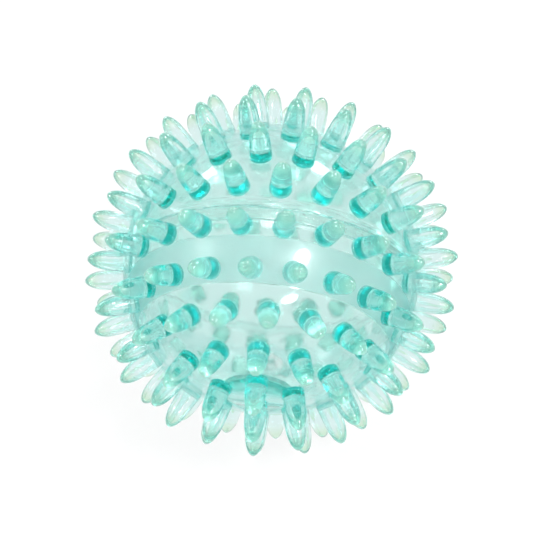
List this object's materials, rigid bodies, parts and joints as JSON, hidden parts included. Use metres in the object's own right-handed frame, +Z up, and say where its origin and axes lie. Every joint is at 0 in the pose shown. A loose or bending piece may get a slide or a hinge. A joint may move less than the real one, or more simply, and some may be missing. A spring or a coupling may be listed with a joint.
{
  "type": "spiked sensory ball",
  "caption": "Hollow clear soft-plastic ball covered in blunt radial spikes, moulded in two halves that lap at a seam, with a pump needle valve in place of one spike.",
  "frame": {"origin": "centre of the round body", "axes": "+Y along the moulding axis, from the front half's pole to the back half's; +Z up from the four spikes that the ball rests on; +X to the right"},
  "size_m": [0.099, 0.1, 0.0984],
  "materials": {
    "shell_pvc": "clear turquoise soft plastic, glossy, with a finely frosted belt beside the seam",
    "spike_pvc": "clear turquoise soft plastic, glossy, with faint moulding lines",
    "bond_pvc": "clear cement film with small bubbles",
    "valve_plug": "milky soft rubber"
  },
  "bodies": {
    "root": {"front_shell": "shell_pvc", "back_shell": "shell_pvc", "seam_bond": "bond_pvc", "front_pole_spike": "spike_pvc", "front_spike_ring_1": "spike_pvc", "front_spike_ring_2": "spike_pvc", "front_spike_ring_3": "spike_pvc", "front_spike_ring_4": "spike_pvc", "front_spike_ring_5": "spike_pvc", "back_pole_spike": "spike_pvc", "back_spike_ring_1": "spike_pvc", "back_spike_ring_2": "spike_pvc", "back_spike_ring_3": "spike_pvc", "back_spike_ring_4": "spike_pvc", "back_spike_ring_5": "spike_pvc", "valve_plug": "valve_plug"}
  },
  "joints": []
}
